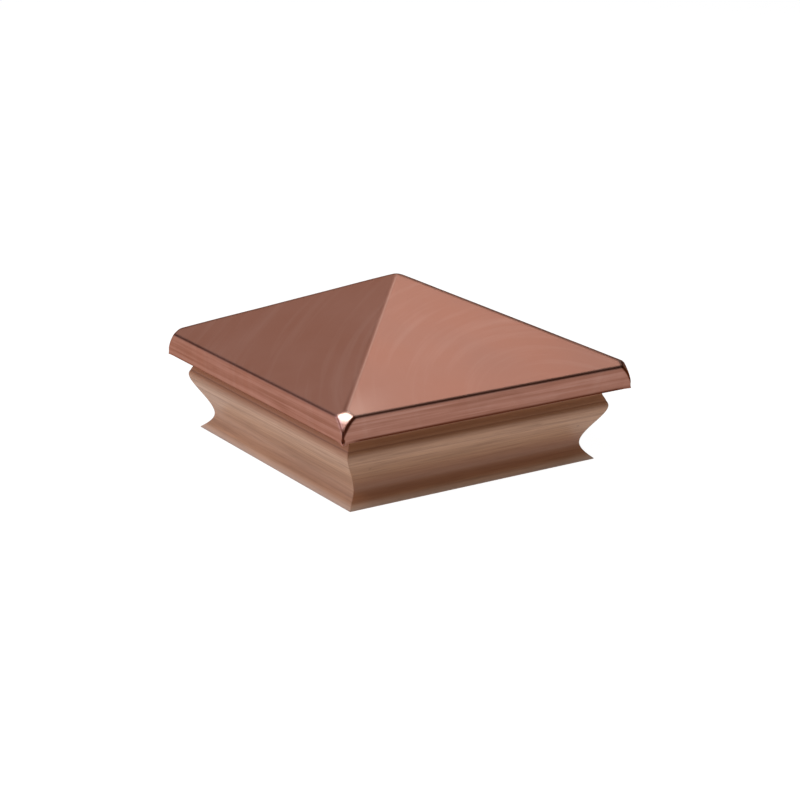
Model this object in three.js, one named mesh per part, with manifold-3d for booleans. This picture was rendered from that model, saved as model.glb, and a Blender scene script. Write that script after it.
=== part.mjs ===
// Pyramid fence post cap: a folded copper roof over a rebated board, on a mitred frame of
// crown moulding that slips over the top of a square post.
// Units are millimetres, +Z is up, and the origin is the centre of the frame's lower rim.

import * as THREE from "three";
import { mergeVertices } from "three/addons/utils/BufferGeometryUtils.js";
import Module from "manifold-3d";

const wasm = await Module();
wasm.setup();

// ---------------------------------------------------------------- driving dimensions

const POST_SIDE = 88.9; // dressed side of a nominal 4 x 4 post
const POST_CLEARANCE = 1.85; // between the post and each inner face of the frame
const FIT_GAP = 0.3; // between pieces that touch

const CAP_HALF = 70; // half the width of the copper roof across its flanges
const SHEET = 0.6; // copper sheet thickness
const FLANGE_BOTTOM = 32.15;
const FOLD_HEIGHT = 42.1; // where the flange turns into the roof
const APEX_HEIGHT = 74.46;
const CORNER_CUT = 4; // how far in from each corner the hip is pressed flat
const CORNER_TILT = THREE.MathUtils.degToRad(40.2); // of that flat, from level

const FRAME_TOP = 32.7; // height of the moulding frame
const RIM_HALF = 60.2; // half-width at the thin lower lip
const LIP_EASE = 0.1;
const LIP_HEIGHT = 0.4;
const WAIST_HALF = 55.65;
const WAIST_HEIGHT = 6.9;
const BULGE_HALF = 63.7;
const BULGE_HEIGHT = 23.7;
const NOSE_SET = 0.5; // from the bulge in to the end of the rolled top
const NOSE_RISE = 1.7;
const QUIRK_DEPTH = 0.5;
const QUIRK_WIDTH = 0.6;
const FILLET_HALF = 62.9; // where the fillet above the quirk starts
const SHOULDER_HALF = 61.6; // half-width of the hidden part under the flange
const SHOULDER_HEIGHT = 29;

// How far the handles of the cove and of the ogee reach.
const LIP_HANDLE = { inward: 1.9, upward: 1.6 };
const WAIST_HANDLE = { down: 2.7, up: 5.1 };
const BULGE_HANDLE = { down: 4.1, up: 1 };
const FILLET_HANDLE = 1.5;
const RELIEF_DEPTH = 0.4; // clearance cut in the frame's inner faces, beside the board's centre
const RELIEF_HEIGHT = 29.5;

const BOARD_TOP = 41.2;
const BOARD_EDGE_GAP = 0.4; // between the board's edge and the flange
const SEAT_HEIGHT = 30; // underside of the board's raised centre, where the post stops
const BOARD_CHAMFER = 4;

const BRAD_LENGTH = 25;
const BRAD_RADIUS = 0.6;
const BRAD_HEAD_RADIUS = 1;
const BRAD_HEAD_HEIGHT = 0.8;
const BRAD_POINT = 1.5;
const BRAD_SIDES = 10;
const BRAD_HOLE_REACH = 6; // how far a brad's hole runs on past its head
const MITRE_BRAD_INSET = 51; // distance from the centre plane to a mitre brad
const MITRE_BRAD_HEIGHTS = { lower: 16, upper: 29 };
const MITRE_BRAD_SET = 1; // depth of a mitre brad's head below the moulding's surface
const BOARD_BRAD_INSET = 54;
const BOARD_BRAD_SPREAD = 25; // distance of a board brad from the middle of its side
const BOARD_BRAD_SET = 0.5;

const BEAD_OUTER = 67; // adhesive bead, measured out from the centre
const BEAD_INNER = 58;
const BEAD_TOE = 1; // how far its lower edge runs further in
const BEAD_HALF_LENGTH = 50;

const CUT_MARGIN = 1; // how far a solid that cuts or joins runs past the surface it meets
const CURVE_STEPS = 8; // straight pieces in each curve of an extruded outline

// ---------------------------------------------------------------- derived dimensions

const socketHalf = POST_SIDE / 2 + POST_CLEARANCE;
const slope = (APEX_HEIGHT - FOLD_HEIGHT) / CAP_HALF;
const slopeLength = Math.hypot(1, slope);
const sheetRise = SHEET * slopeLength; // the sheet's thickness measured straight up
const boardHalf = CAP_HALF - SHEET - BOARD_EDGE_GAP;
const boardUnderside = FRAME_TOP + FIT_GAP;
const landHalf = socketHalf - FIT_GAP;
const mitreOffset = (FIT_GAP / 2) * Math.SQRT2;

const SIDES = { front: 0, right: 1, back: 2, left: 3 };

// ---------------------------------------------------------------- materials

const copper = new THREE.MeshStandardMaterial({ color: 0xb87860, roughness: 0.38, metalness: 1 });
const cedar = new THREE.MeshStandardMaterial({ color: 0xa98268, roughness: 0.6, metalness: 0 });
const board = new THREE.MeshStandardMaterial({ color: 0xb08f6c, roughness: 0.8, metalness: 0 });
const steel = new THREE.MeshStandardMaterial({ color: 0x9a9a98, roughness: 0.4, metalness: 1 });
const adhesive = new THREE.MeshStandardMaterial({ color: 0xd9c9a3, roughness: 0.5, metalness: 0 });

// ---------------------------------------------------------------- solids

function toSolid(geometry) {
  geometry.deleteAttribute("normal");
  geometry.deleteAttribute("uv");
  const merged = mergeVertices(geometry, 1e-4);
  return new wasm.Manifold(
    new wasm.Mesh({
      numProp: 3,
      vertProperties: merged.attributes.position.array,
      triVerts: new Uint32Array(merged.index.array),
    }),
  );
}

function toGeometry(solid) {
  const mesh = solid.getMesh();
  const geometry = new THREE.BufferGeometry();
  geometry.setAttribute("position", new THREE.BufferAttribute(mesh.vertProperties, 3));
  geometry.setIndex(new THREE.BufferAttribute(mesh.triVerts, 1));
  geometry.computeVertexNormals();
  return geometry;
}

function block(width, depth, low, high) {
  const geometry = new THREE.BoxGeometry(width, depth, high - low);
  geometry.translate(0, 0, (low + high) / 2);
  return geometry;
}

// Turns an outline of radii and heights about the vertical.
function turned(outline, segments, start = 0) {
  const points = outline.map(([radius, height]) => new THREE.Vector2(radius, height));
  return new THREE.LatheGeometry(points, segments, start).rotateX(Math.PI / 2);
}

// A square solid from its half-widths and heights.
function fourSided(outline) {
  return turned(outline.map(([half, height]) => [half * Math.SQRT2, height]), 4, Math.PI / 4);
}

// Extrudes an upright cross-section of the front side, given as distance out from the
// centre and height, along the whole side.
function alongFront(section, halfLength) {
  const geometry = new THREE.ExtrudeGeometry(section, {
    depth: 2 * halfLength,
    bevelEnabled: false,
    curveSegments: CURVE_STEPS,
  });
  const outward = new THREE.Vector3(0, -1, 0);
  const upward = new THREE.Vector3(0, 0, 1);
  const along = new THREE.Vector3(-1, 0, 0);
  geometry.applyMatrix4(new THREE.Matrix4().makeBasis(outward, upward, along));
  return geometry.translate(halfLength, 0, 0);
}

// ---------------------------------------------------------------- copper roof

// The solid roof, shrunk inwards by a distance measured square to each of its faces.
function roofSolid(inset) {
  const half = CAP_HALF - inset;
  const apex = APEX_HEIGHT - inset * slopeLength;
  const bottom = inset > 0 ? FLANGE_BOTTOM - CUT_MARGIN : FLANGE_BOTTOM;
  let solid = toSolid(fourSided([[0, bottom], [half, bottom], [half, apex - slope * half], [0, apex]]));
  for (let corner = 0; corner < 4; corner += 1) {
    solid = solid.subtract(toSolid(cornerPresser(inset, corner)));
  }
  return solid;
}

// A block whose near face lies on the flat pressed into a corner of the roof. The flat
// cuts the hip CORNER_CUT in from the corner and runs out a little further along the folds.
function cornerPresser(inset, corner) {
  const hipPoint = new THREE.Vector3(CAP_HALF - CORNER_CUT, CAP_HALF - CORNER_CUT, 0);
  hipPoint.z = APEX_HEIGHT - slope * hipPoint.x;
  const size = CAP_HALF / 2;
  const geometry = new THREE.BoxGeometry(size, size, size);
  geometry.translate(0, 0, size / 2 - inset);
  geometry.rotateY(CORNER_TILT).rotateZ(Math.PI / 4);
  geometry.translate(hipPoint.x, hipPoint.y, hipPoint.z);
  return geometry.rotateZ((corner * Math.PI) / 2);
}

function copperCap() {
  const shell = roofSolid(0).subtract(roofSolid(SHEET));
  const mesh = new THREE.Mesh(toGeometry(shell), copper);
  mesh.name = "copper_cap";
  return mesh;
}

// ---------------------------------------------------------------- brads

// A brad stands on its point at the origin and its head is at the top.
function bradGeometry() {
  const outline = [
    [0, 0],
    [BRAD_RADIUS, BRAD_POINT],
    [BRAD_RADIUS, BRAD_LENGTH - BRAD_HEAD_HEIGHT],
    [BRAD_HEAD_RADIUS, BRAD_LENGTH - BRAD_HEAD_HEIGHT / 2],
    [BRAD_HEAD_RADIUS, BRAD_LENGTH],
    [0, BRAD_LENGTH],
  ];
  return turned(outline, BRAD_SIDES);
}

// The hole that a brad leaves, open above its head.
function bradHole() {
  const shoulder = BRAD_LENGTH - BRAD_HEAD_HEIGHT - FIT_GAP;
  const outline = [
    [0, -FIT_GAP],
    [BRAD_RADIUS + FIT_GAP, -FIT_GAP],
    [BRAD_RADIUS + FIT_GAP, shoulder],
    [BRAD_HEAD_RADIUS + FIT_GAP, shoulder],
    [BRAD_HEAD_RADIUS + FIT_GAP, BRAD_LENGTH + BRAD_HOLE_REACH],
    [0, BRAD_LENGTH + BRAD_HOLE_REACH],
  ];
  return turned(outline, BRAD_SIDES);
}

// Places of the mitre brads: four through the front moulding and four through the back one.
function mitreBradPlaces() {
  const places = [];
  for (const [end, facing] of [["front", -1], ["back", 1]]) {
    for (const [hand, sideways] of [["left", -1], ["right", 1]]) {
      for (const [level, height] of Object.entries(MITRE_BRAD_HEIGHTS)) {
        const surface = mouldingHalfAt(height);
        const tip = surface - MITRE_BRAD_SET - BRAD_LENGTH;
        const matrix = new THREE.Matrix4().makeRotationX(-facing * (Math.PI / 2));
        matrix.setPosition(sideways * MITRE_BRAD_INSET, facing * tip, height);
        places.push({ name: `mitre_brad_${end}_${hand}_${level}`, matrix });
      }
    }
  }
  return places;
}

// Places of the board brads: two down through the board into each moulding.
function boardBradPlaces() {
  const places = [];
  for (const [side, turns] of Object.entries(SIDES)) {
    for (const [which, spread] of [["a", -BOARD_BRAD_SPREAD], ["b", BOARD_BRAD_SPREAD]]) {
      const point = new THREE.Vector3(spread, -BOARD_BRAD_INSET, BOARD_TOP - BOARD_BRAD_SET - BRAD_LENGTH);
      point.applyAxisAngle(new THREE.Vector3(0, 0, 1), (turns * Math.PI) / 2);
      const matrix = new THREE.Matrix4().setPosition(point);
      places.push({ name: `board_brad_${side}_${which}`, matrix });
    }
  }
  return places;
}

function brad({ name, matrix }) {
  const mesh = new THREE.Mesh(bradGeometry(), steel);
  mesh.name = name;
  mesh.applyMatrix4(matrix);
  return mesh;
}

function withoutHoles(solid, places) {
  let rest = solid;
  for (const { matrix } of places) {
    rest = rest.subtract(toSolid(bradHole().applyMatrix4(matrix)));
  }
  return rest;
}

// ---------------------------------------------------------------- moulding frame

// The crown profile: a thin lip, a cove up to the waist, an ogee out to the bulge, a rolled
// top that ends in a quirk, and a shoulder that carries the board. It starts at the rim.
function addFace(path) {
  const lip = new THREE.Vector2(RIM_HALF - LIP_EASE, LIP_HEIGHT);
  const nose = new THREE.Vector2(BULGE_HALF - NOSE_SET, BULGE_HEIGHT + NOSE_RISE);
  const quirk = new THREE.Vector2(nose.x - QUIRK_DEPTH, nose.y + QUIRK_WIDTH / 2);
  path.lineTo(lip.x, lip.y);
  path.bezierCurveTo(
    lip.x - LIP_HANDLE.inward, lip.y + LIP_HANDLE.upward,
    WAIST_HALF, WAIST_HEIGHT - WAIST_HANDLE.down,
    WAIST_HALF, WAIST_HEIGHT,
  );
  path.bezierCurveTo(
    WAIST_HALF, WAIST_HEIGHT + WAIST_HANDLE.up,
    BULGE_HALF, BULGE_HEIGHT - BULGE_HANDLE.down,
    BULGE_HALF, BULGE_HEIGHT,
  );
  path.quadraticCurveTo(BULGE_HALF, BULGE_HEIGHT + BULGE_HANDLE.up, nose.x, nose.y);
  path.lineTo(quirk.x, quirk.y);
  path.lineTo(FILLET_HALF, nose.y + QUIRK_WIDTH);
  path.quadraticCurveTo(SHOULDER_HALF, SHOULDER_HEIGHT - FILLET_HANDLE, SHOULDER_HALF, SHOULDER_HEIGHT);
  return path;
}

// Half-width of the frame at a height, found along the profile.
function mouldingHalfAt(height) {
  const face = addFace(new THREE.Path().moveTo(RIM_HALF, 0)).getPoints(3 * CURVE_STEPS);
  const above = face.findIndex((point) => point.y >= height);
  const [low, high] = [face[above - 1], face[above]];
  return low.x + ((high.x - low.x) * (height - low.y)) / (high.y - low.y);
}

function mouldingSection() {
  const section = new THREE.Shape();
  section.moveTo(socketHalf, 0);
  section.lineTo(RIM_HALF, 0);
  addFace(section);
  section.lineTo(SHOULDER_HALF, FRAME_TOP);
  section.lineTo(socketHalf + RELIEF_DEPTH, FRAME_TOP);
  section.lineTo(socketHalf + RELIEF_DEPTH, RELIEF_HEIGHT);
  section.lineTo(socketHalf, RELIEF_HEIGHT - RELIEF_DEPTH);
  section.closePath();
  return section;
}

// A quarter of the plan, set back from both mitre planes by half the fitting gap.
function mitreWedge() {
  const reach = CAP_HALF;
  const plan = new THREE.Shape();
  plan.moveTo(0, -mitreOffset);
  plan.lineTo(-reach, -reach - mitreOffset);
  plan.lineTo(reach, -reach - mitreOffset);
  plan.closePath();
  const depth = FRAME_TOP + 2 * CUT_MARGIN;
  return new THREE.ExtrudeGeometry(plan, { depth, bevelEnabled: false }).translate(0, 0, -CUT_MARGIN);
}

function moulding(side, places) {
  const bar = toSolid(alongFront(mouldingSection(), CAP_HALF)).intersect(toSolid(mitreWedge()));
  const turn = (SIDES[side] * Math.PI) / 2;
  const unturn = new THREE.Matrix4().makeRotationZ(-turn);
  const ownPlaces = places.map(({ matrix }) => ({ matrix: unturn.clone().multiply(matrix) }));
  const mesh = new THREE.Mesh(toGeometry(withoutHoles(bar, ownPlaces)), cedar);
  mesh.name = `moulding_${side}`;
  mesh.rotation.z = turn;
  return mesh;
}

// ---------------------------------------------------------------- top board

// A square board with its corners taken off. The rebate round its underside leaves a
// raised centre that drops into the frame, locates it, and takes the end of the post.
function topBoard(places) {
  const corner = boardHalf - BOARD_CHAMFER;
  const plan = new THREE.Shape();
  plan.moveTo(-corner, -boardHalf);
  plan.lineTo(corner, -boardHalf);
  plan.lineTo(boardHalf, -corner);
  plan.lineTo(boardHalf, corner);
  plan.lineTo(corner, boardHalf);
  plan.lineTo(-corner, boardHalf);
  plan.lineTo(-boardHalf, corner);
  plan.lineTo(-boardHalf, -corner);
  plan.closePath();
  const plate = new THREE.ExtrudeGeometry(plan, { depth: BOARD_TOP - boardUnderside, bevelEnabled: false });
  plate.translate(0, 0, boardUnderside);
  const land = block(2 * landHalf, 2 * landHalf, SEAT_HEIGHT, boardUnderside + CUT_MARGIN);
  const whole = toSolid(plate).add(toSolid(land));
  const mesh = new THREE.Mesh(toGeometry(withoutHoles(whole, places)), board);
  mesh.name = "top_board";
  return mesh;
}

// ---------------------------------------------------------------- adhesive beads

// A wedge of adhesive between the board and the underside of one roof slope.
function adhesiveBead(side) {
  const low = BOARD_TOP + FIT_GAP;
  const roofUnderside = (out) => APEX_HEIGHT - sheetRise - slope * out - FIT_GAP * slopeLength;
  const section = new THREE.Shape();
  section.moveTo(BEAD_INNER - BEAD_TOE, low);
  section.lineTo(BEAD_OUTER, low);
  section.lineTo(BEAD_OUTER, roofUnderside(BEAD_OUTER));
  section.lineTo(BEAD_INNER, roofUnderside(BEAD_INNER));
  section.closePath();
  const mesh = new THREE.Mesh(alongFront(section, BEAD_HALF_LENGTH), adhesive);
  mesh.name = `adhesive_bead_${side}`;
  mesh.rotation.z = (SIDES[side] * Math.PI) / 2;
  return mesh;
}

// ---------------------------------------------------------------- assembly

const mitrePlaces = mitreBradPlaces();
const boardPlaces = boardBradPlaces();
const allPlaces = [...mitrePlaces, ...boardPlaces];

const frame = new THREE.Group();
for (const side of Object.keys(SIDES)) {
  frame.add(moulding(side, allPlaces));
}

const fasteners = new THREE.Group();
for (const place of allPlaces) {
  fasteners.add(brad(place));
}

const roof = new THREE.Group();
roof.add(copperCap(), topBoard(boardPlaces));
for (const side of Object.keys(SIDES)) {
  roof.add(adhesiveBead(side));
}

const postCap = new THREE.Group();
postCap.add(frame, fasteners, roof);

export default postCap;
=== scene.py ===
"""A pyramid fence post cap: a satin copper roof on a mitred cedar moulding frame."""

import math

import bpy
import numpy as np
from mathutils import Matrix, Vector, noise
from mathutils.geometry import interpolate_bezier


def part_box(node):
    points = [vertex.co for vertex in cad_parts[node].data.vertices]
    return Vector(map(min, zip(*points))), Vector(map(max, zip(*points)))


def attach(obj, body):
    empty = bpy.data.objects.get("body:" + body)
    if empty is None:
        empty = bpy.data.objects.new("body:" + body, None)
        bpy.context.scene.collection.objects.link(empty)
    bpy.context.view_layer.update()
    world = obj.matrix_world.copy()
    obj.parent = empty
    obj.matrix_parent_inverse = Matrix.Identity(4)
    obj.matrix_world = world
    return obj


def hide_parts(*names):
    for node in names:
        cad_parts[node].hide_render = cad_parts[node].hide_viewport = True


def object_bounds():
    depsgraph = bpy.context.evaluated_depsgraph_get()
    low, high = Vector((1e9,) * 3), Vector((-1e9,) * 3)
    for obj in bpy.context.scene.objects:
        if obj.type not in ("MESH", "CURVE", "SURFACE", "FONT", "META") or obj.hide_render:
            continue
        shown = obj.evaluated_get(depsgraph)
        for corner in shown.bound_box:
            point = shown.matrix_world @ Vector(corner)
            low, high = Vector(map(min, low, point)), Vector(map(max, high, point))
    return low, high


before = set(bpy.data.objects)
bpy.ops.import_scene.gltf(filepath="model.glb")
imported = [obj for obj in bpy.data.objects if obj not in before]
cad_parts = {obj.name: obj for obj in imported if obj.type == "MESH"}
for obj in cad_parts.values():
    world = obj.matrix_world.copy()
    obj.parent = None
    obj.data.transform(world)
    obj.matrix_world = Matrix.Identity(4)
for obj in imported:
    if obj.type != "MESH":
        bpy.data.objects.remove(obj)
cad_low, cad_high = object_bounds()

MM = 0.001

# ------------------------------------------------------------------ roof sizes, in metres

CAP_HALF = cad_high.x
APEX_Z = cad_high.z
FLANGE_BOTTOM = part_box("copper_cap")[0].z
FLANGE_HEIGHT = 9.95 * MM
FOLD_Z = FLANGE_BOTTOM + FLANGE_HEIGHT
SHEET = 0.6 * MM
SLOPE = (APEX_Z - FOLD_Z) / CAP_HALF
SLOPE_LENGTH = math.hypot(1, SLOPE)
EDGE_EASE = 0.1 * MM  # rounding of the sheet's cut edge

CORNER_CUT = 4 * MM  # how far in from each corner the hip is pressed flat
CORNER_TILT = math.radians(40.2)  # of that flat, from level
UPRIGHT_CUT = 2.05 * MM  # how far in the rounded upright corner is at the fold
UPRIGHT_START = FLANGE_BOTTOM + 2.6 * MM  # height where its rounding starts
APEX_BLUNT = 0.8 * MM

HIP_BLEND = 1.3 * MM  # how far each bend reaches from its sharp edge
CORNER_BLEND = 2.0 * MM
FLAT_BLEND = 0.7 * MM
UPRIGHT_BLEND = 0.5 * MM
FOLD_BLEND = 1.15 * MM
FOLD_BLEND_START = FLANGE_BOTTOM + 1.5 * MM  # the bend widens to FOLD_BLEND between these heights
FOLD_BLEND_END = FOLD_Z - 2 * MM

BEND_TOP = FOLD_Z + 1.0 * MM  # the mesh has its closest rings between these heights
BEND_BOTTOM = FOLD_Z - 1.6 * MM
BEND_RINGS = 22
HALVINGS = 40  # steps in finding a point on the surface

BUCKLE = 0.10 * MM  # how far the slopes are out of flat
BUCKLE_FADE = 6 * MM  # height above the fold over which that sets in
BROAD_WAVES = 24  # noise waves per metre
CLOSE_WAVES = 55
CLOSE_SHIFT = Vector((3, 7, 1))  # keeps the two noises apart
DRAWN = 0.035 * MM  # depth of the faint lines drawn along the flanges
DRAWN_WAVES = (9, 9, 420)

SEAM_TOP = 5.4 * MM  # above the flange's lower edge, as the seam's other heights are
SEAM_FADE = 1.2 * MM
SEAM_FOOT = (0.3 * MM, 0.9 * MM)  # where it opens, above its closed foot
SEAM_WIDTH = 0.6 * MM
SEAM_DEPTH = 0.45 * MM
NICK_HEIGHT = 1.5 * MM  # of the pinched hole at the seam's foot
NICK_SIZE = 0.8 * MM
NICK_WIDENING = 1.4  # how much wider the seam is at the hole
TIP_DROOP = 0.8 * MM  # how far each corner's tip hangs below the flanges
TIP_REACH = 2.2 * MM
TIP_HEIGHT = 4 * MM
NEAT_CORNER = 0.2  # how much of the hole and the droop the three neater corners show

# ------------------------------------------------------------------ marks on the copper

# A pair holds the value on the left and right sides, then on the front and back, except HIP_MARK.
FOLD_MARK_WIDTHS = (0.52 * MM, 0.36 * MM)
FOLD_MARK_STRENGTHS = (0.75, 0.85)
FOLD_MARK_OFFSET = 0.12 * MM  # from the bend's middle, down the flange
EDGE_MARK_STARTS = (-0.3 * MM, -0.7 * MM)
EDGE_MARK_ENDS = (0.2 * MM, 0.45 * MM)
EDGE_MARK_FADE = 0.4 * MM
EDGE_MARK_STRENGTHS = (0.8, 1.0)
RIM_MARK_HEIGHTS = (0.38 * MM, 0.95 * MM)
RIM_MARK_STRENGTHS = (0.65, 1.0)
RIM_MARK_AT_CORNERS = 0.3
SEAM_MARK_WIDTH = 0.7 * MM
SEAM_MARK_TOP = FOLD_Z - 4.6 * MM
GROOVE_SHADE_DEPTH = 0.2 * MM  # depth at which the painted shade in a groove is quite dark
HIP_MARK_STRENGTHS = (0.4, 0.1)  # at the fold, then at the top of its run
HIP_MARK_RUN = 9 * MM
RIGHT_CORNER_DARK_REFLECTION = 0.85  # painted dark reflection on the pressed corners on the right
PRESSED_HIGHLIGHT = 0.45  # how bright the painted highlight on the pressed corners is
# How bright the painted highlights along the hip crests and at the foot of the front slope are.
CREST_HIGHLIGHT = 0.12
GLOW_HIGHLIGHT = 0.13
# How far the painted shade, painted dark reflections and dark seams darken the copper.
SHADE_AND_SEAMS_SHARE = 0.96
STREAK_SHARE = 0.72
WIPE_CENTRE = (0.026, -0.103, 0.05)  # what the wipe marks curve round

# ------------------------------------------------------------------ moulding sizes, in metres

FRAME_LOW, FRAME_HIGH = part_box("moulding_front")
FRAME_TOP = FRAME_HIGH.z
BULGE_HALF = -FRAME_LOW.y
SOCKET_HALF = -FRAME_HIGH.y
RIM_HALF = BULGE_HALF - 3.5 * MM
WAIST_HALF = BULGE_HALF - 8.05 * MM
WAIST_Z = 6.9 * MM
BULGE_Z = 23.7 * MM
FILLET_HALF = BULGE_HALF - 0.8 * MM
SHOULDER_HALF = BULGE_HALF - 2.1 * MM
SHOULDER_Z = 29 * MM
ARRIS_EASE = 0.3 * MM
MITRE_GAP = 0.008 * MM
MITRE_EASE = 0.14 * MM
MOULDING_STATIONS = 25  # sections along each length

MITRE_BRAD_X = 51 * MM  # heads of the lower mitre brads, in the front and back mouldings
MITRE_BRAD_Z = 16 * MM
MITRE_BRAD_FACE = 59.85 * MM

SIDES = ("front", "right", "back", "left")

# ------------------------------------------------------------------ colours


def rgb(r, g, b):
    return (r, g, b, 1.0)


COPPER = rgb(0.40, 0.198, 0.150)
COPPER_DEEP = rgb(0.36, 0.165, 0.120)
COPPER_PALE = rgb(0.45, 0.255, 0.205)
COPPER_BROWN = rgb(0.23, 0.095, 0.062)
COPPER_BLACK = rgb(0.075, 0.015, 0.005)
COPPER_HIGHLIGHT = rgb(0.95, 0.72, 0.62)
COPPER_EDGE = rgb(0.85, 0.55, 0.45)
CEDAR_LIGHT = rgb(0.42, 0.215, 0.115)
CEDAR_DARK = rgb(0.29, 0.135, 0.066)
BOARD_LIGHT = rgb(0.56, 0.40, 0.25)
BOARD_DARK = rgb(0.44, 0.29, 0.17)
LIP_LIGHT_WOOD = rgb(0.45, 0.32, 0.25)
CONTACT_SHADOW = rgb(0.13, 0.1, 0.085)
ZINC_DARK = rgb(0.42, 0.42, 0.41)
ZINC_PALE = rgb(0.56, 0.56, 0.55)
GLUE_DARK = rgb(0.60, 0.50, 0.33)
GLUE_PALE = rgb(0.72, 0.62, 0.45)
FLOOR_DARK = rgb(0.09, 0.09, 0.09)
FLOOR_PALE = rgb(0.11, 0.11, 0.11)
WHITE = rgb(1, 1, 1)

# ------------------------------------------------------------------ view

VIEW_AZIMUTH = -34.128  # degrees round from the front, towards the right
VIEW_ELEVATION = 17.718
VIEW_ROLL = 1.064
CAMERA_DISTANCE = 0.8325
CAMERA_LENS = 89.3  # millimetres, on a 36 mm sensor
AIM_HEIGHT = 0.030
AIM_RIGHT = 0.00238
AIM_UP = -0.01047


def direction_to(azimuth, elevation):
    """Unit vector from the object. Azimuth 0 is in front of it and 90 to its right, in degrees."""
    a, e = math.radians(azimuth), math.radians(elevation)
    return Vector((math.sin(a) * math.cos(e), -math.cos(a) * math.cos(e), math.sin(e)))


def add_camera():
    azimuth = math.radians(VIEW_AZIMUTH)
    back = direction_to(VIEW_AZIMUTH, VIEW_ELEVATION)
    right = Vector((math.cos(azimuth), math.sin(azimuth), 0))
    up = back.cross(right)
    aim = Vector((0, 0, AIM_HEIGHT)) + right * AIM_RIGHT + up * AIM_UP
    roll = Matrix.Rotation(math.radians(VIEW_ROLL), 3, "Z")
    turn = Matrix((right, up, back)).transposed() @ roll
    data = bpy.data.cameras.new("camera")
    data.lens = CAMERA_LENS
    data.clip_start = 0.01
    data.clip_end = 50
    camera = bpy.data.objects.new("camera", data)
    camera.matrix_world = Matrix.Translation(aim + back * CAMERA_DISTANCE) @ turn.to_4x4()
    bpy.context.scene.collection.objects.link(camera)
    bpy.context.scene.camera = camera


# ------------------------------------------------------------------ helpers


def add_mesh(name, vertices, faces, sharp_degrees=None):
    mesh = bpy.data.meshes.new(name)
    mesh.from_pydata([tuple(v) for v in vertices], [], faces)
    mesh.validate()
    mesh.update()
    mesh.shade_smooth()
    if sharp_degrees is not None:
        mesh.set_sharp_from_angle(angle=math.radians(sharp_degrees))
    piece = bpy.data.objects.new(name, mesh)
    bpy.context.scene.collection.objects.link(piece)
    return piece


def graded(length, fine, growth, coarse):
    """Distances from 0 to length: fine steps at both ends that grow towards the middle."""
    steps = [0.0]
    while steps[-1] < length / 2:
        steps.append(steps[-1] + min(fine + growth * steps[-1], coarse))
    near = np.array(steps) * (length / 2 / steps[-1])
    return np.concatenate([near, (length - near[:-1])[::-1]])


def rise(values, low, high):
    """0 below low, 1 above high and a smooth step between them."""
    share = np.clip((values - low) / (high - low), 0, 1)
    return share * share * (3 - 2 * share)


def bell(values, centre, width, power=2):
    """1 at centre, fading away at width to each side, with a flatter top the higher power is."""
    return np.exp(-(((values - centre) / width) ** power))


def between(share, pair):
    """The first of pair where share is 0, and the second where it is 1."""
    return pair[0] + (pair[1] - pair[0]) * share


def smooth_max(a, b, reach):
    """The larger of two signed distances, with their edge rounded over reach."""
    share = np.maximum(reach - np.abs(a - b), 0) / reach
    return np.maximum(a, b) + share * share * reach / 4


# ------------------------------------------------------------------ copper roof: its surface


def roof_parts(points, inset):
    """Signed distances of points from the four slopes, the flanges and the pressed corners."""
    x = np.sqrt(points[:, 0] ** 2 + APEX_BLUNT**2)
    y = np.sqrt(points[:, 1] ** 2 + APEX_BLUNT**2)
    z = points[:, 2]
    apex = APEX_Z - inset * SLOPE_LENGTH
    side_slopes = (SLOPE * x + z - apex) / SLOPE_LENGTH
    front_slopes = (SLOPE * y + z - apex) / SLOPE_LENGTH
    slopes = smooth_max(side_slopes, front_slopes, HIP_BLEND)
    half = CAP_HALF - inset
    flanges = smooth_max(np.abs(points[:, 0]) - half, np.abs(points[:, 1]) - half, UPRIGHT_BLEND)
    spread = np.abs(points[:, 0]) + np.abs(points[:, 1])
    hip = CAP_HALF - CORNER_CUT
    level, upward = math.sin(CORNER_TILT) / math.sqrt(2), math.cos(CORNER_TILT)
    flats = level * (spread - 2 * hip) + upward * (z - APEX_Z + SLOPE * hip) + inset
    lean = 2 * UPRIGHT_CUT / (FOLD_Z - UPRIGHT_START)
    leaned = spread + lean * (z - UPRIGHT_START) - 2 * CAP_HALF
    uprights = leaned / math.sqrt(2 + lean**2) + inset
    return slopes, flanges, smooth_max(flats, uprights, CORNER_BLEND)


def roof_field(points, inset):
    """Signed distance from the roof: outside it is positive and inside it is negative."""
    slopes, flanges, corners = roof_parts(points, inset)
    above = smooth_max(slopes, corners, FLAT_BLEND)
    lift = rise(points[:, 2], FOLD_BLEND_START, FOLD_BLEND_END)
    return smooth_max(above, flanges, between(lift, (UPRIGHT_BLEND, FOLD_BLEND)) - inset / 2)


def roof_gradient(points, inset):
    """Unit normals of the roof at points."""
    step = 0.01 * MM
    columns = []
    for axis in range(3):
        shift = np.zeros(3)
        shift[axis] = step
        difference = roof_field(points + shift, inset) - roof_field(points - shift, inset)
        columns.append(difference / (2 * step))
    gradient = np.stack(columns, 1)
    return gradient / np.maximum(np.linalg.norm(gradient, axis=1, keepdims=True), 1e-9)


def halved(low, high, is_outside):
    """The values between low and high where is_outside turns true, found by halving."""
    for _ in range(HALVINGS):
        middle = (low + high) / 2
        outside = is_outside(middle)
        high = np.where(outside, middle, high)
        low = np.where(outside, low, middle)
    return (low + high) / 2


def onto_roof(levels, ring, inset):
    """The roof's outline at each level, as one row of points per level."""
    directions = np.tile(np.array(ring), (len(levels), 1))
    heights = np.repeat(levels, len(ring))

    def is_outside(reach):
        points = np.column_stack([directions * reach[:, None], heights])
        return roof_field(points, inset) > 0

    reach = halved(np.zeros(len(heights)), np.full(len(heights), CAP_HALF), is_outside)
    return np.column_stack([directions * reach[:, None], heights])


def apex_height(inset):
    def is_outside(height):
        return roof_field(np.array([[0, 0, height[0]]]), inset) > 0

    return halved(np.array([FOLD_Z]), np.array([APEX_Z]), is_outside)[0]


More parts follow.
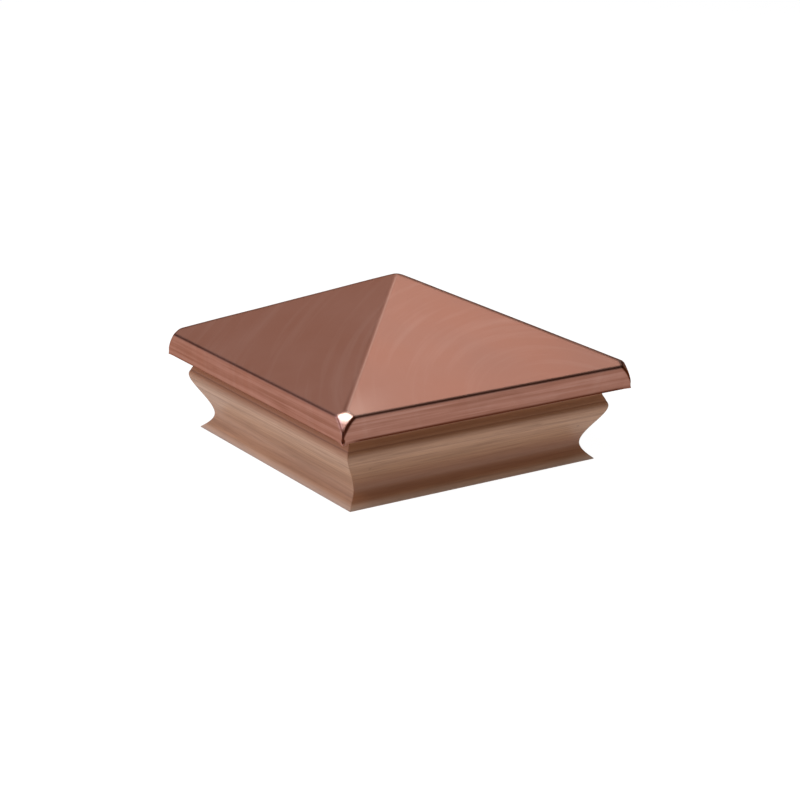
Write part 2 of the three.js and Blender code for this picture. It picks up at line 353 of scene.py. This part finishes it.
def square_ring(columns):
    """Directions round a square, side by side, spaced along each side as columns says."""
    ring = []
    for turns in range(4):
        c, s = round(math.cos(turns * math.pi / 2)), round(math.sin(turns * math.pi / 2))
        ring += [(c * share + s, s * share - c) for share in columns[:-1]]
    return ring


def roof_levels(inset, coarse):
    """Heights of the roof's rings: close together at the point, round the fold and at the edge."""
    top = apex_height(inset)
    slope_run = graded((top - BEND_TOP) / SLOPE, 0.2 * MM, 0.1, coarse) * SLOPE
    flange_run = graded(BEND_BOTTOM - FLANGE_BOTTOM - EDGE_EASE, 0.14 * MM, 0.14, 0.5 * MM)
    bend = np.linspace(BEND_TOP, BEND_BOTTOM, BEND_RINGS)
    return np.concatenate([top - slope_run[1:-1], bend, BEND_BOTTOM - flange_run[1:]])


# ------------------------------------------------------------------ copper roof: how it was worked


def buckle(points, normals):
    """Faint unevenness of the hand-folded sheet, fading out at the folds."""
    moved = []
    for point, normal in zip(points, normals):
        broad = noise.noise(Vector(point) * BROAD_WAVES)
        close = noise.noise(Vector(point) * CLOSE_WAVES + CLOSE_SHIFT)
        above = min(max((point[2] - FOLD_Z) / BUCKLE_FADE, 0), 1)
        along = Vector([place * waves for place, waves in zip(point, DRAWN_WAVES)])
        drawn = noise.noise(along) * (1 - above)
        moved.append(point + normal * (BUCKLE * (broad + 0.5 * close) * above + DRAWN * drawn))
    return np.array(moved)


def corner_wear(points):
    """1 round the front left corner, where the sheet was pinched hardest, and less elsewhere."""
    return np.where((points[:, 0] < 0) & (points[:, 1] < 0), 1, NEAT_CORNER)


def from_hip(points):
    """Distance from the nearest hip: towards the front or back it is positive."""
    return np.abs(points[:, 1]) - np.abs(points[:, 0])


def corner_groove(points):
    """Opens the seam down each upright corner, which ends in a pinched hole near the tip."""
    height = points[:, 2] - FLANGE_BOTTOM
    fade = np.clip((SEAM_TOP - height) / SEAM_FADE, 0, 1) * rise(height, *SEAM_FOOT)
    nick = bell(height, NICK_HEIGHT, NICK_SIZE) * corner_wear(points)
    width = SEAM_WIDTH * (1 + NICK_WIDENING * nick)
    depth = SEAM_DEPTH * (1 + nick) * fade
    pull = depth * np.clip(1 - np.abs(from_hip(points)) / width, 0, 1) ** 1.5
    moved = points.copy()
    moved[:, 0] -= np.sign(points[:, 0]) * pull / math.sqrt(2)
    moved[:, 1] -= np.sign(points[:, 1]) * pull / math.sqrt(2)
    return moved, pull


def droop_tips(points):
    """Lets the four lower tips of the sheet hang a little."""
    share = bell(from_hip(points), 0, TIP_REACH) * corner_wear(points)
    share *= 1 - rise(points[:, 2] - FLANGE_BOTTOM, 0, TIP_HEIGHT)
    return points - np.outer(share * TIP_DROOP, [0, 0, 1])


# ------------------------------------------------------------------ copper roof: its marks


def fold_mark(slopes, flanges, corners, on_front):
    """A painted dark reflection along each fold, which stops at the pressed corners."""
    mark = bell(flanges - slopes, FOLD_MARK_OFFSET, between(on_front, FOLD_MARK_WIDTHS))
    mark *= rise(np.maximum(slopes, flanges) - corners, -0.6 * MM, 0)
    return mark * between(on_front, FOLD_MARK_STRENGTHS)


def edge_mark(slopes, flanges, corners, on_front):
    """A painted dark reflection down both edges of each pressed corner."""
    inward = corners - flanges
    start = between(on_front, EDGE_MARK_STARTS)
    end = between(on_front, EDGE_MARK_ENDS)
    mark = rise(inward, start, start + EDGE_MARK_FADE) * (1 - rise(inward, end, end + EDGE_MARK_FADE))
    return mark * rise(corners - slopes, -0.4 * MM, 0) * between(on_front, EDGE_MARK_STRENGTHS)


def seam_mark(height, side):
    """The dark seam down each upright corner."""
    mark = bell(side, 0, SEAM_MARK_WIDTH, power=4)
    mark *= 1 - rise(height, SEAM_MARK_TOP - 1 * MM, SEAM_MARK_TOP)
    return mark * rise(height - FLANGE_BOTTOM, *SEAM_FOOT)


def rim_mark(height, side, on_front):
    """A painted shadow along the lower rim of the flanges, which is fainter near the corners."""
    mark = bell(height, FLANGE_BOTTOM, between(on_front, RIM_MARK_HEIGHTS), power=4)
    mark *= between(on_front, RIM_MARK_STRENGTHS)
    return mark * between(rise(np.abs(side), 2 * MM, 9 * MM), (RIM_MARK_AT_CORNERS, 1))


def hip_mark(height, side):
    """The shade along each hip, on the side slopes, which fades upwards."""
    mark = between(rise(height, FOLD_Z, FOLD_Z + HIP_MARK_RUN), HIP_MARK_STRENGTHS)
    return mark * bell(side, -1.1 * MM, 0.9 * MM) * rise(height, FOLD_Z + 0.5 * MM, FOLD_Z + 2 * MM)


def pressed_mark(slopes, flanges, corners, height, side):
    """The painted highlight on the kite of each pressed corner: its peak leans to the front, its foot
    fades out.
    """
    peak = 0.5 * bell(side, 1.3 * MM, 1.1 * MM) - 0.25 * bell(side, -2.2 * MM, 1.6 * MM)
    pressed = corners - np.maximum(slopes, flanges + 0.6 * MM)
    pressed += peak * MM * rise(height, FOLD_Z, FOLD_Z + 1 * MM)
    mark = PRESSED_HIGHLIGHT * rise(pressed, -0.15 * MM, 0.15 * MM)
    return mark * rise(height, FOLD_Z - 3.4 * MM, FOLD_Z - 0.6 * MM)


def crest_mark(height, side):
    """A painted highlight along the crest of each hip."""
    return CREST_HIGHLIGHT * bell(side, 0.5 * MM, 0.5 * MM) * rise(height, FOLD_Z, FOLD_Z + 3 * MM)


def glow_mark(points, slopes, flanges, height, side, on_front):
    """A painted highlight at the foot of the front slope, beside the front left corner."""
    mark = on_front * bell(side, 0, 14 * MM) * (1 - rise(height, FOLD_Z, FOLD_Z + 7 * MM))
    return GLOW_HIGHLIGHT * mark * corner_wear(points) * (slopes > flanges)


def roof_marks(points, pull):
    """Painted shade and dark reflections along the bends, rims, hips and grooves, the dark seams, and
    painted highlights on the hips and pressed corners.
    """
    slopes, flanges, corners = roof_parts(points, 0)
    height = points[:, 2]
    side = from_hip(points)
    on_front = rise(side, -1 * MM, 1 * MM)
    # The pressed corners on the right get a painted dark reflection.
    dark_reflection = RIGHT_CORNER_DARK_REFLECTION * rise(corners - np.maximum(slopes, flanges), 0, 0.3 * MM)
    dark = [
        fold_mark(slopes, flanges, corners, on_front),
        edge_mark(slopes, flanges, corners, on_front),
        seam_mark(height, side),
        rim_mark(height, side, on_front),
        hip_mark(height, side),
        dark_reflection * (points[:, 0] > 0),
        # Painted shade in the seam groove, darker the deeper it is.
        pull / GROOVE_SHADE_DEPTH,
    ]
    shade_and_seams = np.clip(np.maximum.reduce(dark), 0, 1)
    crest = crest_mark(height, side) + glow_mark(points, slopes, flanges, height, side, on_front)
    painted_highlight = np.maximum(pressed_mark(slopes, flanges, corners, height, side), crest)
    return shade_and_seams, painted_highlight * (1 - shade_and_seams)


# ------------------------------------------------------------------ copper roof: its mesh


def cut_edge(ring_points, outward):
    """A ring moved in or out by the edge's rounding, and down to the flange's lower edge."""
    factor = 1 + outward * EDGE_EASE / CAP_HALF
    moved = ring_points * [factor, factor, 1]
    moved[:, 2] = FLANGE_BOTTOM
    return moved


def roof_faces(count, total):
    """Quads between rings of count points, closed at both ends by the two peaks after them."""
    faces = []
    for ring_start in range(0, total - count, count):
        for column in range(count):
            a, b = ring_start + column, ring_start + (column + 1) % count
            faces.append((a, a + count, b + count, b))
    top, under = total, total + 1
    last = total - count
    for column in range(count):
        following = (column + 1) % count
        faces.append((top, column, following))
        faces.append((under, last + following, last + column))
    return faces


def add_copper_cap():
    """The sheet: its outer face, its cut edge and its inner face as one closed mesh."""
    columns = graded(2 * CAP_HALF, 0.14 * MM, 0.07, 3.5 * MM) / CAP_HALF - 1
    ring = square_ring(columns)
    count = len(ring)
    outer = onto_roof(roof_levels(0, 3 * MM), ring, 0)
    outer = buckle(outer, roof_gradient(outer, 0))
    outer, pull = corner_groove(outer)
    inner = onto_roof(roof_levels(SHEET, 8 * MM)[::-1], ring, SHEET)
    rings = np.concatenate([outer, cut_edge(outer[-count:], -1), cut_edge(inner[:count], 1), inner])
    peaks = np.array([[0, 0, apex_height(0)], [0, 0, apex_height(SHEET)]])
    vertices = np.concatenate([rings, peaks])
    faces = roof_faces(count, len(rings))
    cap = add_mesh("copper_roof", droop_tips(vertices), faces, sharp_degrees=50)
    pull = np.concatenate([pull, np.zeros(len(vertices) - len(pull))])
    shade_and_seams, painted_highlight = roof_marks(vertices, pull)
    for name, values in (("shade_and_seams", shade_and_seams), ("painted_highlight", painted_highlight)):
        attribute = cap.data.attributes.new(name, "FLOAT", "POINT")
        attribute.data.foreach_set("value", values.astype(np.float32))
    return cap


# ------------------------------------------------------------------ moulding frame


def shifted(point, out, up):
    return (point[0] + out, point[1] + up)


def curve(start, first, second, end, count):
    """Points of a curve from start to end, pulled towards first and second, without its start."""
    points = interpolate_bezier(*(Vector(p) for p in (start, first, second, end)), count)
    return [(p.x, p.y) for p in points][1:]


def moulding_profile():
    """Outline of the moulding as distance out from the centre and height, anticlockwise."""
    ease = ARRIS_EASE
    lip = (RIM_HALF - 0.1 * MM, 0.4 * MM)
    waist = (WAIST_HALF, WAIST_Z)
    bulge = (BULGE_HALF, BULGE_Z)
    nose = (BULGE_HALF - 0.5 * MM, BULGE_Z + 1.7 * MM)
    quirk = shifted(nose, -0.14 * MM, 0.22 * MM)
    into_quirk = ((nose[0] + quirk[0]) / 2, nose[1] + 0.1 * MM)
    fillet = (FILLET_HALF, nose[1] + 0.6 * MM)
    fillet_top = shifted(fillet, -0.03 * MM, 0.1 * MM)
    shoulder = (SHOULDER_HALF, SHOULDER_Z)
    outline = [(SOCKET_HALF, ease), (SOCKET_HALF + ease, 0)]
    outline += [(RIM_HALF - 0.25 * MM, 0), (RIM_HALF - 0.05 * MM, 0.12 * MM), lip]
    outline += curve(lip, shifted(lip, -1.9 * MM, 1.6 * MM), shifted(waist, 0, -2.7 * MM), waist, 14)
    outline += curve(waist, shifted(waist, 0, 5.1 * MM), shifted(bulge, 0, -4.1 * MM), bulge, 24)
    outline += curve(bulge, shifted(bulge, 0, 0.8 * MM), shifted(nose, 0.15 * MM, -0.3 * MM), nose, 7)
    outline += [into_quirk, quirk, shifted(fillet, 0.04 * MM, -0.15 * MM), fillet_top]
    to_shoulder = [shifted(shoulder, 0.6 * MM, -1.4 * MM), shifted(shoulder, 0, -0.8 * MM)]
    outline += curve(fillet_top, *to_shoulder, shoulder, 6)
    outline += [(SHOULDER_HALF, FRAME_TOP - ease), (SHOULDER_HALF - ease, FRAME_TOP)]
    outline += [(SOCKET_HALF + ease, FRAME_TOP), (SOCKET_HALF, FRAME_TOP - ease)]
    return outline


def inset_outline(outline, amount):
    """The outline shrunk by amount, square to its edges."""
    count = len(outline)
    sharpest = 0.3  # keeps a point at a sharp turn from moving too far
    shrunk = []
    for i in range(count):
        before, here, after = (Vector(outline[(i + k) % count]) for k in (-1, 0, 1))
        into = (here - before).normalized()
        out = (after - here).normalized()
        normal = Vector((-(into.y + out.y), into.x + out.x))
        scale = amount / max(normal.length_squared / 2, sharpest)
        shrunk.append(tuple(here + normal * scale))
    return shrunk


def sweep_faces(count, stations):
    """Quads between sections of count points, and a cap at each end."""
    faces = []
    for station in range(stations - 1):
        for i in range(count):
            a, b = station * count + i, station * count + (i + 1) % count
            faces.append((a, b, b + count, a + count))
    last = (stations - 1) * count
    faces.append(tuple(reversed(range(count))))
    faces.append(tuple(last + i for i in range(count)))
    return faces


def add_moulding(side):
    """One side of the frame: the outline swept between two mitre planes, with eased ends."""
    outline = moulding_profile()
    small = inset_outline(outline, MITRE_EASE)
    shares = np.linspace(-1, 1, MOULDING_STATIONS)
    stations = [(-1, small, 0.0), (-1, outline, MITRE_EASE)]
    stations += [(share, outline, MITRE_EASE) for share in shares[1:-1]]
    stations += [(1, outline, MITRE_EASE), (1, small, 0.0)]
    turn = Matrix.Rotation(SIDES.index(side) * math.pi / 2, 3, "Z")
    vertices = []
    for share, section, back in stations:
        for out, height in section:
            along = share * (out - MITRE_GAP - back)
            vertices.append(turn @ Vector((along, -out, height)))
    faces = sweep_faces(len(outline), len(stations))
    return add_mesh(f"crown_moulding_{side}", vertices, faces, sharp_degrees=30)


def putty_places(side):
    """Where the lower mitre brads are set in the front and back mouldings, and filled over."""
    facing = {"front": -1, "back": 1}.get(side, 0)
    return [(x, facing * MITRE_BRAD_FACE, MITRE_BRAD_Z) for x in (-MITRE_BRAD_X, MITRE_BRAD_X) if facing]


# ------------------------------------------------------------------ materials


class Shader:
    """A material's node tree with short ways to add and join nodes."""

    def __init__(self, name):
        self.material = bpy.data.materials.new(name)
        self.material.use_nodes = True
        self.nodes = self.material.node_tree.nodes
        self.links = self.material.node_tree.links
        self.surface = self.nodes["Principled BSDF"]

    def add(self, kind, **settings):
        node = self.nodes.new("ShaderNode" + kind)
        for key, value in settings.items():
            setattr(node, key, value)
        return node

    def feed(self, node, socket, value):
        if isinstance(value, bpy.types.NodeSocket):
            self.links.new(value, node.inputs[socket])
        else:
            node.inputs[socket].default_value = value

    def place(self, scale, rotation=(0, 0, 0), location=(0, 0, 0)):
        """Object coordinates, scaled by a factor along each axis."""
        where = self.add("TexCoord")
        mapping = self.add("Mapping", vector_type="TEXTURE")
        self.feed(mapping, "Vector", where.outputs["Object"])
        self.feed(mapping, "Scale", tuple(1 / s for s in scale))
        self.feed(mapping, "Rotation", rotation)
        self.feed(mapping, "Location", location)
        return mapping.outputs["Vector"]

    def noise(self, vector, scale=1.0, detail=3.0, roughness=0.55, distortion=0.0):
        node = self.add("TexNoise")
        self.feed(node, "Vector", vector)
        self.feed(node, "Scale", scale)
        self.feed(node, "Detail", detail)
        self.feed(node, "Roughness", roughness)
        self.feed(node, "Distortion", distortion)
        return node.outputs["Fac"]

    def ramp(self, value, low, high, out_low=0.0, out_high=1.0):
        """From out_low where value is low to out_high where it is high, and no further."""
        node = self.add("MapRange")
        node.clamp = True
        self.feed(node, "Value", value)
        self.feed(node, "From Min", low)
        self.feed(node, "From Max", high)
        self.feed(node, "To Min", out_low)
        self.feed(node, "To Max", out_high)
        return node.outputs["Result"]

    def math(self, operation, a, b=0.0):
        node = self.add("Math", operation=operation)
        self.feed(node, 0, a)
        self.feed(node, 1, b)
        return node.outputs["Value"]

    def mix(self, share, a, b):
        node = self.add("Mix", data_type="RGBA", blend_type="MIX")
        self.feed(node, 0, share)
        self.feed(node, 6, a)
        self.feed(node, 7, b)
        return node.outputs[2]

    def height(self):
        """Height above the rim."""
        split = self.add("SeparateXYZ")
        self.feed(split, 0, self.place((1, 1, 1)))
        return split.outputs["Z"]

    def distance(self, centre):
        """Distance from a point."""
        reach = self.add("VectorMath", operation="DISTANCE")
        self.feed(reach, 0, self.place((1, 1, 1)))
        self.feed(reach, 1, centre)
        return reach.outputs["Value"]

    def arcs(self, centre, across, along):
        """Coordinates for wipe marks that curve round a point: across the arcs, and along them."""
        split = self.add("SeparateXYZ")
        self.feed(split, 0, self.place((1, 1, 1)))
        join = self.add("CombineXYZ")
        self.feed(join, "X", self.math("MULTIPLY", self.distance(centre), across))
        self.feed(join, "Y", self.math("MULTIPLY", split.outputs["X"], along))
        self.feed(join, "Z", self.math("MULTIPLY", split.outputs["Y"], along))
        return join.outputs["Vector"]

    def attribute(self, name):
        node = self.add("Attribute", attribute_name=name)
        return node.outputs["Fac"]

    def bump(self, height, distance, strength):
        node = self.add("Bump")
        self.feed(node, "Height", height)
        self.feed(node, "Distance", distance)
        self.feed(node, "Strength", strength)
        self.links.new(node.outputs["Normal"], self.surface.inputs["Normal"])


def tinted(colour, red, green, blue):
    return rgb(colour[0] * red, colour[1] * green, colour[2] * blue)


def flange_streaks(s, base, fine):
    """Adds pale and brown streaks along the flanges."""
    on_flange = s.ramp(s.height(), FOLD_Z - 0.4 * MM, FOLD_Z - 1.2 * MM)
    drawn = s.noise(s.place((11, 11, 620)), detail=3, roughness=0.6)
    blotch = s.noise(s.place((60, 60, 170)), detail=3)
    pale = s.math("MULTIPLY", s.ramp(drawn, 0.46, 0.32, 0, 0.5), on_flange)
    base = s.mix(pale, base, COPPER_PALE)
    brown = s.math("ADD", s.ramp(drawn, 0.44, 0.6, 0, 0.6), s.ramp(fine, 0.35, 0.7, 0, 0.3))
    brown = s.math("ADD", brown, s.ramp(blotch, 0.45, 0.7, 0, 0.3))
    brown = s.math("MULTIPLY", brown, on_flange)
    return s.mix(s.math("MULTIPLY", brown, STREAK_SHARE), base, COPPER_BROWN)


def copper_material():
    """Satin sheet with wipe marks, darkened by painted shade, painted dark reflections and dark seams,
    and brightened by painted highlights.
    """
    s = Shader("copper_sheet")
    shade_and_seams = s.attribute("shade_and_seams")
    painted_highlight = s.attribute("painted_highlight")
    haze = s.noise(s.place((30, 30, 30)), detail=3)
    wiped = s.noise(s.arcs(WIPE_CENTRE, 240, 16), detail=3)
    fine = s.noise(s.place((30, 30, 2600)), detail=2)
    grain = s.noise(s.place((1500, 1500, 1500)), detail=1)
    base = s.mix(s.ramp(haze, 0.3, 0.7), COPPER_DEEP, COPPER)
    base = s.mix(s.ramp(wiped, 0.50, 0.72, 0, 0.32), base, COPPER_PALE)
    base = flange_streaks(s, base, fine)
    # Painted highlights: brighter colour on the pressed corners, the hip crests and the foot of the
    # front slope.
    base = s.mix(painted_highlight, base, COPPER_HIGHLIGHT)
    # Painted shade and dark reflections, and the dark seams.
    base = s.mix(s.math("MULTIPLY", shade_and_seams, SHADE_AND_SEAMS_SHARE), base, COPPER_BLACK)
    rough = s.ramp(haze, 0.3, 0.7, 0.38, 0.44)
    rough = s.math("SUBTRACT", rough, s.math("MULTIPLY", painted_highlight, 0.12))
    outside_highlight = s.ramp(painted_highlight, 0, PRESSED_HIGHLIGHT, 1, 0)
    s.feed(s.surface, "Base Color", base)
    s.feed(s.surface, "Roughness", rough)
    s.feed(s.surface, "Metallic", 1.0)
    s.feed(s.surface, "Specular Tint", COPPER_EDGE)
    s.bump(s.math("MULTIPLY", s.math("ADD", grain, fine), outside_highlight), 0.01 * MM, 0.4)
    return s.material


def late_wood(s, turn, seed):
    """The darker half of each growth ring."""
    rings = s.add("TexWave", wave_type="RINGS", rings_direction="X", wave_profile="SAW")
    s.feed(rings, "Vector", s.place((1, 1, 1), turn, (0, 0.021, -0.034 - 0.002 * seed)))
    s.feed(rings, "Scale", 90.0)
    s.feed(rings, "Distortion", 2.4)
    s.feed(rings, "Detail", 2.0)
    s.feed(rings, "Detail Scale", 0.2)
    s.feed(rings, "Detail Roughness", 0.4)
    return s.ramp(rings.outputs["Fac"], 0.5, 1.0)


def painted_shading(s, colour, band, dark, waist_shade, under_flange_shade):
    """Adds painted shade in the waist, painted shade under the flange and in the quirk, painted light on
    the lip, and a painted contact shadow along the lower edge.
    """
    height = s.height()
    # Painted shade in the waist, most of it on the front moulding.
    in_waist_shade = s.ramp(height, 14 * MM, 8 * MM, 0, waist_shade)
    in_waist_shade = s.math("MULTIPLY", s.ramp(height, 1.4 * MM, 3.4 * MM), in_waist_shade)
    colour = s.mix(in_waist_shade, colour, tinted(dark, 0.8, 0.52, 0.36))
    # Painted shade under the flange, tinted red as if lit by light bounced off the copper.
    flange_shade = s.ramp(height, BULGE_Z - 2.2 * MM, BULGE_Z + 2.6 * MM, 0, under_flange_shade)
    colour = s.mix(flange_shade, colour, tinted(dark, 0.85, 0.52, 0.24))
    # A painted shade line in the quirk.
    off_quirk = s.math("ABSOLUTE", s.math("SUBTRACT", height, BULGE_Z + 1.9 * MM))
    quirk_shade = s.ramp(off_quirk, 0.4 * MM, 0.12 * MM, 0, 0.5 * under_flange_shade)
    colour = s.mix(quirk_shade, colour, tinted(dark, 0.4, 0.26, 0.2))
    # A lighter painted lip, where it catches the light.
    lip_light = s.ramp(height, 2.4 * MM, 0.7 * MM, 0, 0.5)
    colour = s.mix(lip_light, colour, LIP_LIGHT_WOOD)
    # A painted contact shadow along the lower edge.
    contact_shadow = s.math("MULTIPLY", s.ramp(height, 0.9 * MM, 0.2 * MM), s.ramp(band, 0.3, 0.7, 0.25, 0.6))
    return s.mix(contact_shadow, colour, CONTACT_SHADOW)


def puttied(s, colour, places, deep):
    """Adds a small round spot of putty at each place."""
    for place in places:
        spot = s.ramp(s.distance(place), 0.75 * MM, 0.55 * MM, 0, 0.55)
        colour = s.mix(spot, colour, deep)
    return colour


def wood_material(name, along, seed, light, dark, waist_shade=0.0, under_flange_shade=0.0, putty=()):
    """Straight-grained wood with its fibres along X (0) or Y (1), painted shade and light by height, and
    putty over its brads.
    """
    s = Shader(name)
    turn = (0, 0, math.pi / 2) if along else (0, 0, 0)
    offset = (0.013 * seed, 0.017 * seed, 0.005 * seed)

    def grain(lengthwise, crosswise, **settings):
        return s.noise(s.place((lengthwise, crosswise, crosswise), turn, offset), **settings)

    tone = grain(5, 60, detail=2)
    band = grain(4, 240, detail=3, distortion=0.3)
    fibre = grain(30, 1000, detail=3, roughness=0.65)
    fleck = grain(110, 1500, detail=1)
    late = late_wood(s, turn, seed)
    deep = tinted(dark, 0.66, 0.66, 0.66)
    colour = s.mix(s.ramp(tone, 0.35, 0.65), dark, light)
    colour = s.mix(s.ramp(band, 0.45, 0.72, 0, 0.55), colour, dark)
    colour = s.mix(s.math("MULTIPLY", late, 0.16), colour, deep)
    colour = s.mix(s.ramp(fibre, 0.42, 0.66, 0, 0.56), colour, deep)
    colour = s.mix(s.ramp(fleck, 0.6, 0.75, 0, 0.36), colour, deep)
    colour = painted_shading(s, colour, band, dark, waist_shade, under_flange_shade)
    colour = puttied(s, colour, putty, deep)
    s.feed(s.surface, "Base Color", colour)
    s.feed(s.surface, "Roughness", s.ramp(fibre, 0.3, 0.7, 0.42, 0.56))
    s.feed(s.surface, "Specular IOR Level", 0.5)
    s.bump(s.math("ADD", fibre, s.math("MULTIPLY", late, 0.5)), 0.06 * MM, 0.5)
    return s.material


def steel_material():
    """Galvanised wire."""
    s = Shader("brad_steel")
    drawn = s.noise(s.place((2500, 2500, 2500)), detail=2)
    s.feed(s.surface, "Base Color", s.mix(s.ramp(drawn, 0.3, 0.7), ZINC_DARK, ZINC_PALE))
    s.feed(s.surface, "Metallic", 1.0)
    s.feed(s.surface, "Roughness", s.ramp(drawn, 0.3, 0.7, 0.3, 0.45))
    return s.material


def adhesive_material():
    s = Shader("adhesive")
    lumps = s.noise(s.place((300, 300, 300)), detail=3)
    s.feed(s.surface, "Base Color", s.mix(s.ramp(lumps, 0.3, 0.7), GLUE_DARK, GLUE_PALE))
    s.feed(s.surface, "Roughness", s.ramp(lumps, 0.3, 0.7, 0.35, 0.55))
    s.bump(lumps, 0.2 * MM, 0.6)
    return s.material


def floor_material():
    """A pale backlit table: it glows evenly and takes only a faint shadow."""
    s = Shader("pale_floor")
    speck = s.noise(s.place((40, 40, 40)), detail=2)
    s.feed(s.surface, "Base Color", s.mix(s.ramp(speck, 0.3, 0.7), FLOOR_DARK, FLOOR_PALE))
    s.feed(s.surface, "Roughness", 0.9)
    s.feed(s.surface, "Specular IOR Level", 0.0)
    s.feed(s.surface, "Emission Color", WHITE)
    s.feed(s.surface, "Emission Strength", FLOOR_GLOW)
    return s.material


def paint(piece, material):
    piece.data.materials.clear()
    piece.data.materials.append(material)


# ------------------------------------------------------------------ stage and light

FLOOR_HALF = 12
FLOOR_DROP = 0.02 * MM  # keeps the floor just clear of the rim
FLOOR_GLOW = 0.97
ROOM_GLOW = 0.1
SOFTBOX_DISTANCE = 1.5
SOFTBOX_AIM = Vector((0, 0, 0.04))
COOL = (0.89, 1.02, 1.34)
NEUTRAL = (1.0, 1.0, 1.0)
SOFTBOXES = (
    # name, azimuth, elevation, size in metres, radiance, colour
    ("key", -66, 62, (0.9, 0.9), 6.5, NEUTRAL),
    ("left", -100, 22, (1.3, 0.9), 3.4, COOL),
    ("corner_strip", -56, 38, (0.4, 0.7), 1.5, NEUTRAL),
    ("back", 176, 36, (1.2, 0.7), 0.68, NEUTRAL),
    ("hip_strip", 145, 53, (0.35, 0.5), 1.7, NEUTRAL),
    ("right_back", 112, 55, (0.8, 0.7), 1.9, NEUTRAL),
)


def add_floor():
    size = FLOOR_HALF
    corners = [(-size, -size, 0), (size, -size, 0), (size, size, 0), (-size, size, 0)]
    floor = add_mesh("floor", corners, [(0, 1, 2, 3)])
    floor.location.z = cad_low.z - FLOOR_DROP
    paint(floor, floor_material())


def add_softbox(name, azimuth, elevation, size, radiance, colour):
    """An area light that faces the object."""
    direction = direction_to(azimuth, elevation)
    data = bpy.data.lights.new(name, "AREA")
    data.shape = "RECTANGLE"
    data.size, data.size_y = size
    data.energy = radiance * math.pi * size[0] * size[1]
    data.color = colour
    light = bpy.data.objects.new(name, data)
    light.location = direction * SOFTBOX_DISTANCE + SOFTBOX_AIM
    light.rotation_mode = "QUATERNION"
    light.rotation_quaternion = direction.to_track_quat("Z", "Y")
    bpy.context.scene.collection.objects.link(light)


def add_world():
    """A dim plain room."""
    world = bpy.data.worlds.new("room")
    world.use_nodes = True
    world.node_tree.nodes["Background"].inputs["Color"].default_value = WHITE
    world.node_tree.nodes["Background"].inputs["Strength"].default_value = ROOM_GLOW
    bpy.context.scene.world = world


# ------------------------------------------------------------------ assembly

# How strong the painted shade in the waist and under the flange is on each moulding.
FRONT_PAINTED_SHADE = {"waist_shade": 0.62, "under_flange_shade": 0.45}
OTHER_PAINTED_SHADE = {"waist_shade": 0.15, "under_flange_shade": 0.85}
BOARD_SEED = 7


def ease_edges(node):
    """Rounds the edges of a piece carried over from CAD, once its double points are welded."""
    weld = node.modifiers.new("weld", "WELD")
    weld.merge_threshold = 0.001 * MM
    bevel = node.modifiers.new("eased_edges", "BEVEL")
    bevel.width = 0.4 * MM
    bevel.segments = 2
    bevel.limit_method = "ANGLE"


bpy.context.scene.view_settings.view_transform = "Standard"

add_camera()
add_floor()
add_world()
for softbox in SOFTBOXES:
    add_softbox(*softbox)

roof = add_copper_cap()
paint(roof, copper_material())
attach(roof, "root")
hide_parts("copper_cap")

for number, side in enumerate(SIDES):
    piece = add_moulding(side)
    painted_shade = FRONT_PAINTED_SHADE if side == "front" else OTHER_PAINTED_SHADE
    putty = putty_places(side)
    cedar = wood_material(
        f"cedar_{side}", number % 2, number + 1, CEDAR_LIGHT, CEDAR_DARK, putty=putty, **painted_shade
    )
    paint(piece, cedar)
    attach(piece, "root")
    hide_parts(f"moulding_{side}")

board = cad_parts["top_board"]
ease_edges(board)
paint(board, wood_material("board_wood", 0, BOARD_SEED, BOARD_LIGHT, BOARD_DARK))

steel = steel_material()
glue = adhesive_material()
for name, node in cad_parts.items():
    if "brad" in name:
        paint(node, steel)
    if name.startswith("adhesive"):
        paint(node, glue)
